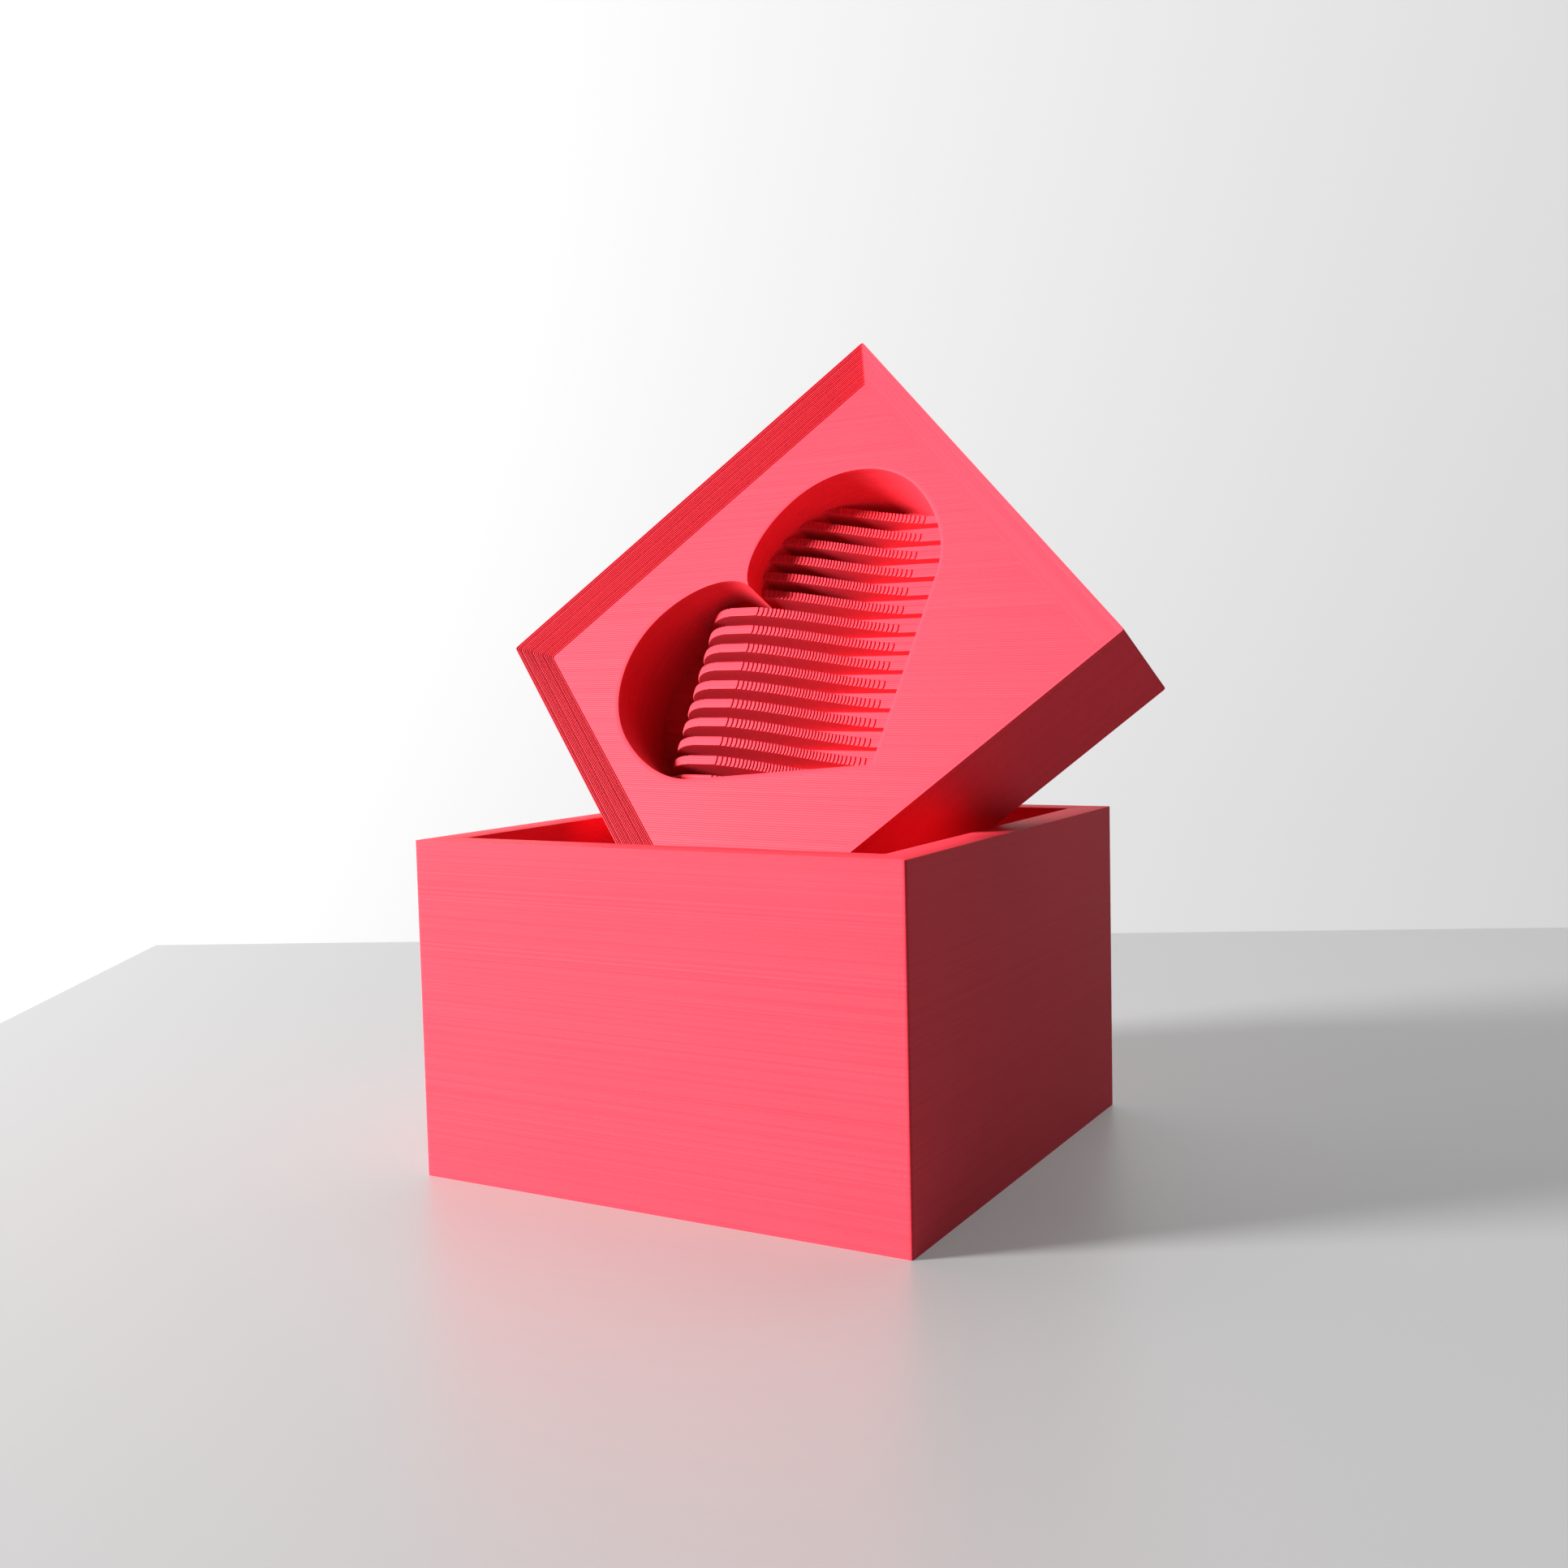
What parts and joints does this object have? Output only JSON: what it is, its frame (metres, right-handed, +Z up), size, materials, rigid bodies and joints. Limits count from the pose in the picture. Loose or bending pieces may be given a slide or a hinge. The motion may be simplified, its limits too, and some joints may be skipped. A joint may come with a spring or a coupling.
{
  "type": "music box",
  "caption": "Square printed box with a loose lift-off lid carrying a heart recess with wave ribs, over a key-wound cylinder and comb movement.",
  "frame": {"origin": "centre of the case's underside, on the surface it stands on", "axes": "+Z up, -Y the front wall, +X the right wall, the key behind at +Y"},
  "size_m": [0.1196, 0.0996, 0.1357],
  "materials": {
    "printed_red": "matte layer-printed plastic",
    "zinc": "die-cast zinc",
    "spring_steel": "ground spring steel",
    "steel": "turned steel",
    "brass": "turned brass",
    "nickel": "nickel plate"
  },
  "bodies": {
    "case": {"box_body": "printed_red", "base_plate": "printed_red", "base_screws": "steel", "bedplate": "zinc", "bedplate_screws": "steel", "front_bracket": "zinc", "middle_bracket": "zinc", "back_bracket": "zinc", "comb": "spring_steel", "comb_base": "steel", "comb_screws": "steel", "key_bush": "brass", "click_pin": "steel", "click_spring": "spring_steel", "stop_spring": "spring_steel"},
    "lid": {"lid": "printed_red", "lid_ribs": "printed_red"},
    "winding": {"winding_arbor": "steel", "ratchet_wheel": "steel", "winding_key": "nickel"},
    "click": {"click": "steel"},
    "barrel": {"barrel": "brass", "barrel_cover": "brass", "barrel_wheel": "brass", "mainspring": "spring_steel"},
    "cylinder": {"cylinder": "brass", "cylinder_pins": "steel", "cylinder_arbor": "steel", "cylinder_pinion": "steel", "cylinder_wheel": "brass"},
    "idler": {"idler_arbor": "steel", "idler_pinion": "steel", "idler_wheel": "brass"},
    "fly": {"fly_spindle": "steel", "fly_pinion": "steel", "fly_fan": "brass"},
    "stop": {"stop_plunger": "steel", "stop_foot": "steel"}
  },
  "joints": [
    {"name": "lid_lift", "type": "slide", "parent": "case", "child": "lid", "axis": [0, 0, 1], "range_m": [0, 0.1]},
    {"name": "key_wind", "type": "hinge", "parent": "case", "child": "winding", "pos_m": [-0.0118, 0.05, 0.01132], "axis": [0, -1, 0], "range_deg": [0, 2160]},
    {"name": "click_lift", "type": "hinge", "parent": "case", "child": "click", "pos_m": [-0.0053, 0.031, 0.01652], "axis": [0, 1, 0], "range_deg": [0, 12], "stiffness_Nm_per_rad": 0.002, "springref_deg": -17.19, "deforming": ["click_spring"]},
    {"name": "barrel_turn", "type": "hinge", "parent": "case", "child": "barrel", "pos_m": [-0.0118, 0.02, 0.01132], "axis": [0, -1, 0], "continuous": true},
    {"name": "cylinder_turn", "type": "hinge", "parent": "case", "child": "cylinder", "pos_m": [-0.003, 0, 0.01132], "axis": [0, -1, 0], "continuous": true},
    {"name": "idler_turn", "type": "hinge", "parent": "case", "child": "idler", "pos_m": [0.0054, 0.02, 0.01132], "axis": [0, -1, 0], "continuous": true},
    {"name": "fly_turn", "type": "hinge", "parent": "case", "child": "fly", "pos_m": [0.0134, 0.02, 0.01132], "axis": [0, -1, 0], "continuous": true},
    {"name": "stop_press", "type": "slide", "parent": "case", "child": "stop", "axis": [0, 0, -1], "range_m": [0, 0.002], "stiffness_N_per_m": 100, "springref_m": -0.004, "deforming": ["stop_spring"]}
  ],
  "couplings": [
    {"joint": "cylinder_turn", "follows": "barrel_turn", "ratio": -2.6667},
    {"joint": "idler_turn", "follows": "barrel_turn", "ratio": 8.5333},
    {"joint": "fly_turn", "follows": "barrel_turn", "ratio": -25.6}
  ]
}
